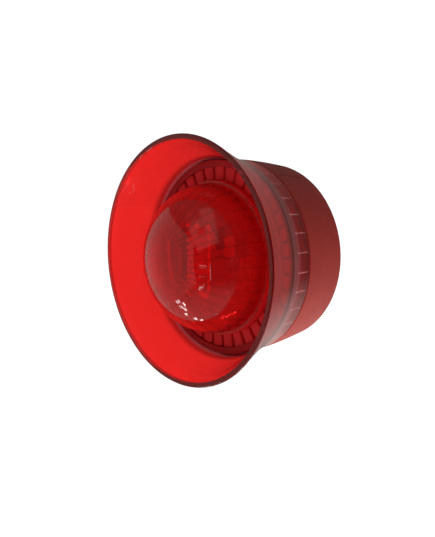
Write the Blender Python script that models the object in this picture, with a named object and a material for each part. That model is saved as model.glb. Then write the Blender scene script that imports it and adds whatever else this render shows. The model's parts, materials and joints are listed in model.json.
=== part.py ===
"""Wall sounder with a strobe, as an assembly of separate parts.

A round base is fastened to the wall. A head twists onto it with a bayonet: a clear red horn with
a domed strobe lens in its mouth, a ring of sound slots between them, and the boards inside.

Units are metres, +Z is up. The origin is the centre of the base's back face, the wall is the
plane Y = 0 and the front faces -Y. Heights are distances in front of the wall, and angles run
anticlockwise as the front is seen, from +X towards +Z.
"""
import math

import bmesh
import bpy
from mathutils import Matrix, Vector

# Driving dimensions, in metres
TURN_STEPS = 48             # sides of the large turned parts, a multiple of four
SMALL_STEPS = 16            # sides of small round parts
GAP = 0.0003                # clearance between neighbouring pieces

SEAM_HEIGHT = 0.0261        # where the base ends and the horn's skirt begins
SEAM_RADIUS = 0.04755
BASE_TAPER = 0.00275        # how much narrower the base is at the wall
BASE_EDGE = 0.0012          # rounding of the edge at the wall
BASE_WALL = 0.0025
BACK_PLATE = 0.0030
WALL_SLOT_CENTRE = 0.03015  # radial slots for the wall screws
WALL_SLOT_LENGTH = 0.0067
WALL_SLOT_HALF = 0.0022
LINE_DEPTH = 0.0004         # the thin line cut along the base's side

NECK_HEIGHT = 0.0399        # where the skirt turns into the flare
NECK_RADIUS = 0.0499
NECK_WALL = 0.0012
SKIRT_WALL = 0.0019
RIM_HEIGHT = 0.0634
RIM_RADIUS = 0.0590
RIM_WALL = 0.00265
RIM_EDGE = 0.0008
FLARE_TOP = RIM_HEIGHT - RIM_EDGE

DOME_RADIUS = 0.0362
DOME_HEIGHT = 0.0436        # the dome's widest circle
DOME_RISE = 0.0299
DOME_WALL = 0.0018
DOME_FLANGE = 0.0374
DOME_SEAT = 0.0410

FIN_COUNT = 36              # sound slots in the throat ring
RIB_COUNT = 34              # castle blocks round the chassis, one between each pair of skirt ribs
RIB_PHASE = -2.93           # degrees, angle of the first gap between blocks
CASTLE_GAP = 0.9            # degrees either side of a gap's middle
FIN_HALF = 3.7              # degrees either side of a fin's middle

COLLAR_RADIUS = 0.0410      # the collar that plugs into the base
COLLAR_BORE = 0.0390
COLLAR_REAR = 0.0095
DECK_BOTTOM = 0.0280
DECK_TOP = 0.0300
LUG_ANGLES = (90, 210, 330)
LUG_HALF = 8                # degrees either side of a lug's middle
LEDGE_HALF = 10

LOCK_ANGLE = 72             # degrees, the lock screw in the base's side
LOCK_HEIGHT = 0.0120
LOCK_RADIUS = 0.00145

COVER_SCREW_ANGLES = (30, 150, 270)
COVER_SCREW_CIRCLE = 0.0330
PAD_ANGLES = (45, 135, 225, 315)
PAD_INNER = 0.0195
PAD_OUTER = 0.0245
BOARD_HEIGHT = 0.0205       # rear face of the main board
BOARD_THICKNESS = 0.0016
STROBE_BOARD_HEIGHT = 0.0354
POST_ANGLES = (60, 240, 300)
POST_CIRCLE = 0.0270
DIP_CENTRE_Z = 0.0080
DIP_LEVERS = 6
DIP_PITCH = 0.0021
DIP_TRAVEL = 0.0017
VOLUME_CENTRE_Z = -0.0090
HEADER_CENTRE_X = -0.0260   # pin header between the two boards
CABLE_CENTRE_Z = -0.0100
CABLE_HOLE = 0.0065
TERMINAL_CENTRE_Z = 0.0325
TERMINAL_PITCH = 0.0052
TERMINAL_TOP = 0.0110

# Colour, roughness, metallic
FINISHES = {
    "base_red": ((0.33, 0.035, 0.030), 0.42, 0.0),
    "clear_red": ((0.75, 0.02, 0.02), 0.08, 0.0),
    "deep_red": ((0.60, 0.020, 0.025), 0.50, 0.0),
    "dark_plastic": ((0.10, 0.045, 0.065), 0.45, 0.0),
    "white_plastic": ((0.80, 0.79, 0.76), 0.35, 0.0),
    "board_green": ((0.03, 0.16, 0.07), 0.50, 0.0),
    "board_white": ((0.62, 0.61, 0.58), 0.40, 0.0),
    "black_plastic": ((0.015, 0.015, 0.016), 0.45, 0.0),
    "steel": ((0.62, 0.62, 0.64), 0.28, 1.0),
    "brass": ((0.72, 0.52, 0.22), 0.30, 1.0),
    "silvered": ((0.85, 0.85, 0.86), 0.12, 1.0),
    "tube_glass": ((0.85, 0.90, 0.92), 0.05, 0.0),
    "rubber": ((0.02, 0.02, 0.02), 0.80, 0.0),
    "copper": ((0.70, 0.30, 0.16), 0.35, 1.0),
    "ceramic": ((0.78, 0.76, 0.70), 0.55, 0.0),
    "blue_plastic": ((0.03, 0.10, 0.35), 0.40, 0.0),
}


# Places on the part -------------------------------------------------------------------------

def at(radius, degrees, height):
    """The point at a radius, an angle and a height in front of the wall."""
    angle = math.radians(degrees)
    return Vector((radius * math.cos(angle), -height, radius * math.sin(angle)))


def base_radius(height):
    """Outside radius of the base: barrelled, narrowest at the wall."""
    depth = 1 - height / SEAM_HEIGHT
    return SEAM_RADIUS - BASE_TAPER * depth ** 1.4


def skirt_radius(height):
    """Outside radius of the horn's skirt: nearly straight, opening at the neck."""
    rise = (height - SEAM_HEIGHT) / (NECK_HEIGHT - SEAM_HEIGHT)
    return SEAM_RADIUS + (NECK_RADIUS - SEAM_RADIUS) * rise ** 3


def flare_rise(height):
    """0 at the neck, 1 where the rim's rounding begins."""
    return (height - NECK_HEIGHT) / (FLARE_TOP - NECK_HEIGHT)


def flare_radius(height):
    """Outside radius of the flare, slightly trumpet shaped."""
    return NECK_RADIUS + (RIM_RADIUS - NECK_RADIUS) * flare_rise(height) ** 1.15


def flare_bore(height):
    """Inside radius of the flare, whose wall thickens towards the rim."""
    wall = NECK_WALL + (RIM_WALL - NECK_WALL) * flare_rise(height)
    return flare_radius(height) - wall


def spread(start, end, count):
    """count values from start to end, both included."""
    return [start + (end - start) * i / (count - 1) for i in range(count)]


# Meshes -------------------------------------------------------------------------------------

def closed(mesh):
    """Merge the points that meet and turn all faces outwards."""
    bmesh.ops.remove_doubles(mesh, verts=mesh.verts, dist=1e-7)
    bmesh.ops.recalc_face_normals(mesh, faces=mesh.faces)
    return mesh


def turned(outline, steps=TURN_STEPS, centre=(0.0, 0.0)):
    """Spin an outline of (radius, height) points about an axis along Y through (x, z) centre."""
    mesh = bmesh.new()
    verts = [mesh.verts.new((centre[0] + r, -h, centre[1])) for r, h in outline]
    edges = []
    for i, (radius, _) in enumerate(outline):
        following = (i + 1) % len(outline)
        if radius > 0 or outline[following][0] > 0:
            edges.append(mesh.edges.new((verts[i], verts[following])))
    bmesh.ops.spin(mesh, geom=verts + edges, cent=(centre[0], 0, centre[1]), axis=(0, 1, 0),
                   angle=2 * math.pi, steps=steps, use_merge=True)
    return closed(mesh)


def cells(radii, degrees, heights, filled):
    """Solid of the filled cells of a grid in radius, angle and height; the angles close up."""
    mesh = bmesh.new()
    columns = len(degrees)
    solid = set()
    for i in range(len(radii) - 1):
        for j in range(columns):
            solid.update((i, j, k) for k in range(len(heights) - 1) if filled(i, j, k))
    points = {}

    def corner(i, j, k):
        key = (i, j % columns, k)
        if key not in points:
            points[key] = mesh.verts.new(at(radii[i], degrees[key[1]], heights[k]))
        return points[key]

    for cell in sorted(solid):
        for axis in range(3):
            for side in (0, 1):
                beside = list(cell)
                beside[axis] += 2 * side - 1
                beside[1] %= columns
                if tuple(beside) in solid:
                    continue
                quad = []
                for u, v in ((0, 0), (1, 0), (1, 1), (0, 1)):
                    offset = [u, v]
                    offset.insert(axis, side)
                    quad.append(corner(*(c + o for c, o in zip(cell, offset))))
                mesh.faces.new(quad)
    return closed(mesh)


def sector(inner, outer, start, end, bottom, top, pieces=3):
    """Block between two radii, two angles in degrees and two heights."""
    degrees = spread(start, end, pieces + 1)
    return cells((inner, outer), degrees, (bottom, top), lambda i, j, k: j < pieces)


def block(size, centre, height):
    """Box with an X and Z size, about an (x, z) centre, between two heights."""
    bottom, top = height
    mesh = bmesh.new()
    bmesh.ops.create_cube(mesh, size=1.0)
    scale = Matrix.Diagonal((size[0], top - bottom, size[1], 1))
    place = Matrix.Translation((centre[0], -(bottom + top) / 2, centre[1]))
    bmesh.ops.transform(mesh, matrix=place @ scale, verts=mesh.verts)
    return mesh


def rod(start, end, radius, sides=SMALL_STEPS, end_radius=None):
    """Cylinder or cone from one point to another."""
    start, end = Vector(start), Vector(end)
    mesh = bmesh.new()
    bmesh.ops.create_cone(mesh, cap_ends=True, segments=sides, radius1=radius,
                          radius2=radius if end_radius is None else end_radius,
                          depth=(end - start).length)
    turn = (end - start).to_track_quat("Z", "Y").to_matrix().to_4x4()
    bmesh.ops.transform(mesh, matrix=Matrix.Translation((start + end) / 2) @ turn,
                        verts=mesh.verts)
    return mesh


def prism(outline, bottom, top):
    """Solid between two heights with an outline of (x, z) points."""
    mesh = bmesh.new()
    face = mesh.faces.new([mesh.verts.new((x, -bottom, z)) for x, z in outline])
    grown = bmesh.ops.extrude_face_region(mesh, geom=[face])["geom"]
    moved = [item for item in grown if isinstance(item, bmesh.types.BMVert)]
    bmesh.ops.translate(mesh, vec=(0, bottom - top, 0), verts=moved)
    return closed(mesh)


def strip(points, thickness, width, place):
    """Bent flat strip: points of (along, height), carried into position by the matrix place."""
    mesh = bmesh.new()
    sides = ([], [])
    for i, point in enumerate(points):
        before = Vector(points[max(i - 1, 0)])
        after = Vector(points[min(i + 1, len(points) - 1)])
        run = (after - before).normalized()
        across = Vector((-run.y, run.x)) * thickness / 2
        sides[0].append(Vector(point) + across)
        sides[1].append(Vector(point) - across)
    outline = sides[0] + sides[1][::-1]
    face = mesh.faces.new([mesh.verts.new((u, -h, -width / 2)) for u, h in outline])
    grown = bmesh.ops.extrude_face_region(mesh, geom=[face])["geom"]
    moved = [item for item in grown if isinstance(item, bmesh.types.BMVert)]
    bmesh.ops.translate(mesh, vec=(0, 0, width), verts=moved)
    bmesh.ops.transform(mesh, matrix=place, verts=mesh.verts)
    return closed(mesh)


def together(*meshes):
    """One mesh holding several separate shapes, for a cutter or a set of additions."""
    joined = bmesh.new()
    for mesh in meshes:
        data = bpy.data.meshes.new("part_of_tool")
        mesh.to_mesh(data)
        joined.from_mesh(data)
        bpy.data.meshes.remove(data)
    return joined


# Objects ------------------------------------------------------------------------------------

def finish(name):
    """The named finish as a Principled material, made once."""
    if name in bpy.data.materials:
        return bpy.data.materials[name]
    color, roughness, metallic = FINISHES[name]
    material = bpy.data.materials.new(name)
    material.use_nodes = True
    shader = material.node_tree.nodes["Principled BSDF"]
    shader.inputs["Base Color"].default_value = (*color, 1)
    shader.inputs["Roughness"].default_value = roughness
    shader.inputs["Metallic"].default_value = metallic
    material.diffuse_color = (*color, 1)
    return material


def part(name, mesh, look, parent=None, pivot=(0, 0, 0)):
    """Object from a mesh drawn in place, with its origin moved to the pivot."""
    pivot = Vector(pivot)
    bmesh.ops.translate(mesh, vec=-pivot, verts=mesh.verts)
    data = bpy.data.meshes.new(name)
    mesh.to_mesh(data)
    mesh.free()
    data.materials.append(finish(look))
    data.shade_smooth()
    data.set_sharp_from_angle(angle=math.radians(35))
    item = bpy.data.objects.new(name, data)
    item.location = pivot
    item.parent = parent
    bpy.context.scene.collection.objects.link(item)
    return item


def shape(item, mesh, operation, label):
    """Boolean another mesh, drawn in place, into an object."""
    data = bpy.data.meshes.new(label)
    mesh.to_mesh(data)
    mesh.free()
    tool = bpy.data.objects.new(label, data)
    tool.hide_render = True
    tool.display_type = "WIRE"
    bpy.context.scene.collection.objects.link(tool)
    step = item.modifiers.new(label, "BOOLEAN")
    step.operation = operation
    step.object = tool
    step.solver = "EXACT"


def axis_empty(name):
    """Empty on the axis of the head's twist."""
    empty = bpy.data.objects.new(name, None)
    empty.empty_display_size = 0.02
    bpy.context.scene.collection.objects.link(empty)
    return empty


# The base -----------------------------------------------------------------------------------

def wall_base():
    """Turned cup on the wall, with bayonet ledges, a lock-screw boss and the wall holes."""
    edge_centre = base_radius(BASE_EDGE) - BASE_EDGE
    rounding = [(edge_centre + BASE_EDGE * math.sin(a), BASE_EDGE - BASE_EDGE * math.cos(a))
                for a in spread(0, math.pi / 2, 4)]
    outside = [(base_radius(h), h) for h in spread(0.0050, SEAM_HEIGHT, 5)]
    inside = [(base_radius(h) - BASE_WALL, h) for h in spread(SEAM_HEIGHT, BACK_PLATE, 4)]
    outline = [(0, 0), *rounding, *outside, *inside, (0, BACK_PLATE)]
    base = part("wall_base", turned(outline), "base_red")

    stop_low, ledge_low, ledge_high = 0.0162, 0.0198, 0.0223
    boss_inner, boss_outer, boss_half = 0.0420, 0.0451, 4
    additions = [sector(boss_inner, boss_outer, LOCK_ANGLE - boss_half, LOCK_ANGLE + boss_half,
                        LOCK_HEIGHT - 0.0030, LOCK_HEIGHT + 0.0030)]
    for middle in LUG_ANGLES:
        start, stop_end = middle - LEDGE_HALF - 1, middle - LUG_HALF - 0.6
        degrees = [start, *spread(stop_end, middle + LEDGE_HALF, 4)]
        additions.append(cells((0.0416, 0.0460), degrees, (stop_low, ledge_low, ledge_high),
                               lambda i, j, k: j < 4 and (k == 1 or j == 0)))
    shape(base, together(*additions), "UNION", "add_ledges_and_boss")

    through = (-0.001, BACK_PLATE + 0.001)
    holes = [rod((0, -through[0], CABLE_CENTRE_Z), (0, -through[1], CABLE_CENTRE_Z),
                 CABLE_HOLE, 24),
             rod(at(0.0400, LOCK_ANGLE, LOCK_HEIGHT), at(0.0500, LOCK_ANGLE, LOCK_HEIGHT),
                 LOCK_RADIUS + 0.00015)]
    for side in (-1, 1):
        middle, half_run = side * WALL_SLOT_CENTRE, WALL_SLOT_LENGTH / 2 - WALL_SLOT_HALF
        outline = [(middle + half_run * turn + WALL_SLOT_HALF * math.sin(a) * turn,
                    WALL_SLOT_HALF * math.cos(a) * turn)
                   for turn in (1, -1) for a in spread(0, math.pi, 7)]
        holes.append(prism(outline, *through))
    line_low, line_high, line_start, line_end = 0.0066, 0.0232, 57.4, 58.0
    holes.append(sector(base_radius(line_low) - LINE_DEPTH, SEAM_RADIUS + 0.0014,
                        line_start, line_end, line_low, line_high, 1))
    shape(base, together(*holes), "DIFFERENCE", "cut_openings")


def cable_grommet():
    """Rubber grommet round the cable hole in the back plate."""
    bore, neck, flange = 0.0044, CABLE_HOLE - GAP, 0.0083
    inside = BACK_PLATE + GAP
    outline = [(bore, 0.0004), (neck, 0.0004), (neck, inside), (flange, inside),
               (flange, inside + 0.0013), (0.0064, inside + 0.0017), (0.0056, 0.0085),
               (bore, 0.0085)]
    part("cable_grommet", turned(outline, 24, (0, CABLE_CENTRE_Z)), "rubber")


def terminal_block():
    """Four-way block with a screw in each well and a wire mouth below each screw."""
    foot = BACK_PLATE + GAP
    item = part("terminal_block", block((0.0220, 0.0080), (0, TERMINAL_CENTRE_Z),
                                        (foot, TERMINAL_TOP)), "black_plastic")
    wells = []
    mouths = []
    for index in range(4):
        x = (index - 1.5) * TERMINAL_PITCH
        wells.append(rod((x, -0.0080, TERMINAL_CENTRE_Z),
                         (x, -TERMINAL_TOP - 0.001, TERMINAL_CENTRE_Z), 0.0021))
        mouths.append(block((0.0030, 0.0060), (x, TERMINAL_CENTRE_Z - 0.0040),
                            (0.0042, 0.0070)))
        screw = turned([(0, 0.0083), (0.0018, 0.0083), (0.0018, 0.0103), (0, 0.0103)], 12,
                       (x, TERMINAL_CENTRE_Z))
        head = part(f"terminal_screw_{index + 1}", screw, "steel",
                    pivot=(x, -0.0083, TERMINAL_CENTRE_Z))
        slot = block((0.0005, 0.0050), (x, TERMINAL_CENTRE_Z), (0.0097, 0.0110))
        shape(head, slot, "DIFFERENCE", f"cut_terminal_slot_{index}")
    shape(item, together(*wells), "DIFFERENCE", "cut_wells")
    shape(item, together(*mouths), "DIFFERENCE", "cut_mouths")


def base_contacts():
    """Ring on the back plate that carries four leaf springs."""
    foot, top, inner, outer = BACK_PLATE + GAP, 0.0053, 0.0190, 0.0255
    ring = [(inner, foot), (outer, foot), (outer, top), (inner, top)]
    part("contact_carrier", turned(ring, 40), "black_plastic")
    leaf_foot = top + 0.0005
    leaf = [(-0.0060, leaf_foot), (-0.0015, leaf_foot), (0.0035, 0.0119), (0.0052, 0.0126),
            (0.0068, 0.0119)]
    for index, degrees in enumerate(PAD_ANGLES):
        turn = Matrix.Rotation(math.radians(-degrees - 90), 4, "Y")
        place = Matrix.Translation(at((PAD_INNER + PAD_OUTER) / 2, degrees, 0)) @ turn
        part(f"contact_spring_{index + 1}", strip(leaf, 0.0004, 0.0030, place), "brass")


def lock_screw():
    """Socket grub screw in the base's side that bears on the head's collar."""
    tip, shoulder, end = COLLAR_RADIUS + GAP, COLLAR_RADIUS + 0.0010, 0.0459
    start = at(tip, LOCK_ANGLE, LOCK_HEIGHT)
    body = turned([(0, 0), (0.0008, 0), (LOCK_RADIUS, shoulder - tip),
                   (LOCK_RADIUS, end - tip), (0, end - tip)], SMALL_STEPS)
    along = at(1, LOCK_ANGLE, 0)
    turn = Vector((0, -1, 0)).rotation_difference(along).to_matrix().to_4x4()
    bmesh.ops.transform(body, matrix=Matrix.Translation(start) @ turn, verts=body.verts)
    screw = part("lock_screw", body, "steel", pivot=start)
    socket = rod(at(end - 0.0016, LOCK_ANGLE, LOCK_HEIGHT),
                 at(end + 0.0010, LOCK_ANGLE, LOCK_HEIGHT), 0.00085, 6)
    shape(screw, socket, "DIFFERENCE", "cut_lock_socket")


# The head -----------------------------------------------------------------------------------

def horn_shell(head):
    """Clear horn: a straight skirt that meets the base, and a flare up to a thick rim."""
    rear = SEAM_HEIGHT + GAP
    skirt = [(skirt_radius(h), h) for h in spread(rear, NECK_HEIGHT, 5)]
    flare = [(flare_radius(h), h) for h in spread(NECK_HEIGHT, FLARE_TOP, 5)[1:]]
    lip = [(RIM_RADIUS - RIM_EDGE * (1 - math.cos(a)), FLARE_TOP + RIM_EDGE * math.sin(a))
           for a in spread(0, math.pi / 2, 4)[1:]]
    bore = [(flare_bore(h), h) for h in spread(FLARE_TOP, NECK_HEIGHT, 5)]
    bore.insert(0, (bore[0][0] + RIM_EDGE / 2, RIM_HEIGHT))
    lining = [(skirt_radius(h) - SKIRT_WALL, h) for h in spread(NECK_HEIGHT, rear, 4)]
    part("horn_shell", turned(skirt + flare + lip + bore + lining), "clear_red", head)


def dome_lens(head):
    """Clear dome: half an ellipsoid with a flange round its foot, open at the rear."""
    def curve(radius, rise, count):
        return [(radius * math.cos(a), DOME_HEIGHT + rise * math.sin(a))
                for a in spread(0, math.pi / 2, count)]
    outside = curve(DOME_RADIUS, DOME_RISE, 10)
    inside = curve(DOME_RADIUS - DOME_WALL, DOME_RISE - DOME_WALL, 8)[::-1]
    outside[-1] = (0, outside[-1][1])
    inside[0] = (0, inside[0][1])
    foot = [(DOME_RADIUS - DOME_WALL, DOME_SEAT), (DOME_FLANGE, DOME_SEAT),
            (DOME_FLANGE, DOME_SEAT + 0.0014), (DOME_RADIUS, DOME_SEAT + 0.0019)]
    part("dome_lens", turned(foot + outside + inside, 40), "clear_red", head)


def throat_ring(head):
    """Ring round the dome: a hub on legs, radial fins, and a rim with a sleeve below it."""
    radii = (0.0346, 0.0376, 0.0440, 0.0450, 0.0463)
    heights = (DECK_TOP + GAP, 0.0316, 0.0340, 0.0364, 0.0382, 0.0394, DOME_SEAT - GAP)
    pitch = 360 / FIN_COUNT
    degrees = []
    for fin in range(FIN_COUNT):
        degrees += [fin * pitch - FIN_HALF, fin * pitch + FIN_HALF]

    def filled(i, j, k):
        fin = j % 2 == 0
        if i == 0:
            return k > 1 or j % 12 in (0, 1)
        if i == 1:
            return fin and k in (2, 3)
        if i == 2:
            return 1 <= k <= 4
        return k in (3, 4)

    part("throat_ring", cells(radii, degrees, heights, filled), "deep_red", head)


def head_chassis(head):
    """Deck across the head with castle blocks round its edge and three screw bosses."""
    radii = (0.0040, 0.0438, 0.0447)
    heights = (SEAM_HEIGHT + 0.0007, DECK_BOTTOM, DECK_TOP, 0.0312)
    pitch = 360 / RIB_COUNT
    degrees = []
    for rib in range(RIB_COUNT):
        gap_middle = RIB_PHASE + rib * pitch
        degrees += [gap_middle - CASTLE_GAP, gap_middle + CASTLE_GAP]
    deck = cells(radii, degrees, heights, lambda i, j, k: k == 1 if i == 0 else j % 2 == 1)
    item = part("head_chassis", deck, "dark_plastic", head)
    bosses = []
    bores = []
    for degrees_at in COVER_SCREW_ANGLES:
        foot = BOARD_HEIGHT + BOARD_THICKNESS + GAP
        bosses.append(rod(at(COVER_SCREW_CIRCLE, degrees_at, foot),
                          at(COVER_SCREW_CIRCLE, degrees_at, DECK_BOTTOM + 0.0005), 0.0030))
        bores.append(rod(at(COVER_SCREW_CIRCLE, degrees_at, foot - 0.001),
                         at(COVER_SCREW_CIRCLE, degrees_at, 0.0272), 0.0015))
    bores.append(block((0.0034, 0.0112), (HEADER_CENTRE_X, 0),
                       (DECK_BOTTOM - 0.001, DECK_TOP + 0.001)))
    shape(item, together(*bosses), "UNION", "add_bosses")
    shape(item, together(*bores), "DIFFERENCE", "cut_bores")


def rear_cover(head):
    """Cover over the back of the head: a disc inside a collar with three bayonet lugs."""
    disc_rear, disc_front = 0.0140, 0.0158
    outline = [(0, disc_rear), (COLLAR_BORE, disc_rear), (COLLAR_BORE, COLLAR_REAR),
               (COLLAR_RADIUS, COLLAR_REAR), (COLLAR_RADIUS, DECK_BOTTOM - GAP),
               (COLLAR_BORE, DECK_BOTTOM - GAP), (COLLAR_BORE, disc_front), (0, disc_front)]
    item = part("rear_cover", turned(outline), "dark_plastic", head)
    lugs = [sector(COLLAR_RADIUS - 0.0003, 0.0435, middle - LUG_HALF, middle + LUG_HALF,
                   0.0165, 0.0195) for middle in LUG_ANGLES]
    shape(item, together(*lugs), "UNION", "add_lugs")
    through = (disc_rear - 0.001, disc_front + 0.001)
    cuts = [block((0.0160, 0.0080), (0, DIP_CENTRE_Z), through),
            rod((0, -through[0], VOLUME_CENTRE_Z), (0, -through[1], VOLUME_CENTRE_Z), 0.0032)]
    for degrees in COVER_SCREW_ANGLES:
        cuts.append(rod(at(COVER_SCREW_CIRCLE, degrees, through[0]),
                        at(COVER_SCREW_CIRCLE, degrees, through[1]), 0.0016))
    shape(item, together(*cuts), "DIFFERENCE", "cut_windows")


def cover_screws(head):
    """Three slotted screws through the rear cover into the chassis bosses."""
    for index, degrees in enumerate(COVER_SCREW_ANGLES):
        place = at(COVER_SCREW_CIRCLE, degrees, 0)
        outline = [(0, 0.0122), (0.0020, 0.0122), (0.0028, 0.0129), (0.0028, 0.0137),
                   (0.00125, 0.0137), (0.00125, 0.0255), (0, 0.0262)]
        screw = part(f"cover_screw_{index + 1}", turned(outline, 12, (place.x, place.z)), "steel",
                     head, (place.x, -0.0137, place.z))
        slot = block((0.0006, 0.0070), (place.x, place.z), (0.0112, 0.0130))
        shape(screw, slot, "DIFFERENCE", f"cut_screw_slot_{index}")


def contact_pads(head):
    """Arc-shaped pads on the rear cover that the base's leaf springs wipe along."""
    for index, degrees in enumerate(PAD_ANGLES):
        pad = sector(PAD_INNER, PAD_OUTER, degrees - 24, degrees + 14, 0.0132, 0.0137, 5)
        part(f"contact_pad_{index + 1}", pad, "brass", head)


def seal_ring(head):
    """Lip seal between the head's collar and the base's bore."""
    inner, outer = COLLAR_RADIUS + GAP, base_radius(0.0240) - BASE_WALL - GAP
    outline = [(inner, 0.0232), (outer - 0.0008, 0.0232), (outer, 0.0240), (outer - 0.0008, 0.0248),
               (inner, 0.0248)]
    part("seal_ring", turned(outline, 48), "rubber", head)


def main_board(head):
    """Control board with its coil, controller and the header to the strobe board."""
    radius, front = 0.0384, BOARD_HEIGHT + BOARD_THICKNESS
    board = [(0, BOARD_HEIGHT), (radius, BOARD_HEIGHT), (radius, front), (0, front)]
    item = part("main_board", turned(board, 40), "board_green", head)
    holes = [rod(at(COVER_SCREW_CIRCLE, degrees, BOARD_HEIGHT - 0.001),
                 at(COVER_SCREW_CIRCLE, degrees, BOARD_HEIGHT + 0.003), 0.0019)
             for degrees in COVER_SCREW_ANGLES]
    shape(item, together(*holes), "DIFFERENCE", "cut_board_holes")

    top = front + GAP
    part("controller_chip", block((0.0128, 0.0075), (-0.0110, -0.0060), (top, top + 0.0023)),
         "black_plastic", head)
    part("board_header", block((0.0026, 0.0104), (HEADER_CENTRE_X, 0),
                               (top, STROBE_BOARD_HEIGHT - GAP)), "black_plastic", head)
    drum, waist, cheek = 0.0042, 0.0031, 0.0009
    coil_top = DECK_BOTTOM - GAP
    coil = [(0, top), (drum, top), (drum, top + cheek), (waist, top + cheek),
            (waist, coil_top - cheek), (drum, coil_top - cheek), (drum, coil_top), (0, coil_top)]
    part("charging_coil", turned(coil, 20, (0.0140, 0.0130)), "copper", head)


def setting_switch(head):
    """Bank of slide levers behind the main board, reached when the head is off."""
    rear, front = 0.0166, BOARD_HEIGHT - GAP
    body = part("dip_switch", block((0.0142, 0.0066), (0, DIP_CENTRE_Z), (rear, front)),
                "blue_plastic", head)
    length = 0.0015
    pockets = []
    for index in range(DIP_LEVERS):
        x = (index - (DIP_LEVERS - 1) / 2) * DIP_PITCH
        pockets.append(block((0.0014, length + DIP_TRAVEL + 2 * GAP), (x, DIP_CENTRE_Z),
                             (rear - 0.001, rear + 0.0013)))
        z = DIP_CENTRE_Z - DIP_TRAVEL / 2
        part(f"dip_lever_{index + 1}", block((0.0009, length), (x, z), (0.0154, rear + 0.0010)),
             "white_plastic", head, (x, -rear, z))
    shape(body, together(*pockets), "DIFFERENCE", "cut_pockets")


def volume_control(head):
    """Square trimmer behind the main board with a slotted rotor."""
    rear, front = 0.0166, BOARD_HEIGHT - GAP
    centre = (0, VOLUME_CENTRE_Z)
    body = part("volume_trimmer", block((0.0072, 0.0072), centre, (rear, front)),
                "blue_plastic", head)
    shape(body, rod((0, -rear + 0.001, VOLUME_CENTRE_Z), (0, -rear - 0.0013, VOLUME_CENTRE_Z),
                    0.0027), "DIFFERENCE", "cut_rotor_well")
    outline = [(0, 0.0154), (0.0024, 0.0154), (0.0024, 0.0176), (0, 0.0176)]
    rotor = part("volume_rotor", turned(outline, SMALL_STEPS, centre), "white_plastic", head,
                 (0, -0.0154, VOLUME_CENTRE_Z))
    shape(rotor, block((0.0007, 0.0060), centre, (0.0144, 0.0161)), "DIFFERENCE",
          "cut_rotor_slot")


def sounder(head):
    """Piezo disc in a resonator cap on the chassis deck."""
    foot = DECK_TOP + GAP
    top = STROBE_BOARD_HEIGHT - 0.0005
    cap = [(0.0188, foot), (0.0200, foot), (0.0200, top), (0.0030, top), (0.0030, top - 0.0012),
           (0.0188, top - 0.0012)]
    part("resonator_cap", turned(cap, 32), "white_plastic", head)
    part("piezo_ceramic", turned([(0, 0.0306), (0.0125, 0.0306), (0.0125, 0.0310), (0, 0.0310)],
                                 24), "ceramic", head)
    part("piezo_disc", turned([(0, 0.0313), (0.0184, 0.0313), (0.0184, 0.0317), (0, 0.0317)],
                              32), "brass", head)


def strobe(head):
    """Strobe board on three posts, with the reflector, flash tube and its parts."""
    rear = STROBE_BOARD_HEIGHT
    front = rear + BOARD_THICKNESS
    part("strobe_board", turned([(0, rear), (0.0338, rear), (0.0338, front), (0, front)], 40),
         "board_white", head)
    for index, degrees in enumerate(POST_ANGLES):
        part(f"board_post_{index + 1}", rod(at(POST_CIRCLE, degrees, DECK_TOP + GAP),
                                            at(POST_CIRCLE, degrees, rear - GAP), 0.0022, 12),
             "white_plastic", head)

    seat = front + GAP
    tube_height = 0.0535
    half_width, half_length, rim = 0.0080, 0.0165, 0.0510
    reflector = part("reflector", block((2 * half_width, 2 * half_length), (0, 0), (seat, rim)),
                     "silvered", head)
    trough = rod((0, -tube_height, -half_length + 0.0012), (0, -tube_height, half_length - 0.0012),
                 0.0075, 24)
    shape(reflector, trough, "DIFFERENCE", "cut_trough")

    reach = half_length - 0.0038
    part("flash_tube", rod((0, -tube_height, -reach), (0, -tube_height, reach), 0.0018, 14),
         "tube_glass", head)
    for index, side in enumerate((1, -1)):
        inner, outer = side * (reach + GAP), side * (reach + 0.0022)
        part(f"tube_cap_{index + 1}", rod((0, -tube_height, inner), (0, -tube_height, outer),
                                          0.0021, 14), "steel", head)
    part("trigger_coil", block((0.0070, 0.0110), (0.0150, 0.0080), (seat, seat + 0.0075)),
         "copper", head)
    part("flash_capacitor", rod((-0.0160, -seat - 0.0048, -0.0130),
                                (-0.0160, -seat - 0.0048, 0.0130), 0.0045, 20),
         "black_plastic", head)


def main():
    """Clear the scene and build every part."""
    for item in list(bpy.data.objects):
        bpy.data.objects.remove(item)
    wall_base()
    cable_grommet()
    terminal_block()
    base_contacts()
    lock_screw()
    head = axis_empty("head_twist_axis")
    horn_shell(head)
    dome_lens(head)
    throat_ring(head)
    head_chassis(head)
    rear_cover(head)
    cover_screws(head)
    contact_pads(head)
    seal_ring(head)
    main_board(head)
    setting_switch(head)
    volume_control(head)
    sounder(head)
    strobe(head)


main()
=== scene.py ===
"""Looks of a wall sounder with a strobe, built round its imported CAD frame.

Every new piece is a surface worked out with numpy. Heights are distances in front of the wall,
which is the plane Y = 0; the front faces -Y. Angles run anticlockwise as the front is seen, from
+X towards +Z.
"""
import json
import math

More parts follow.
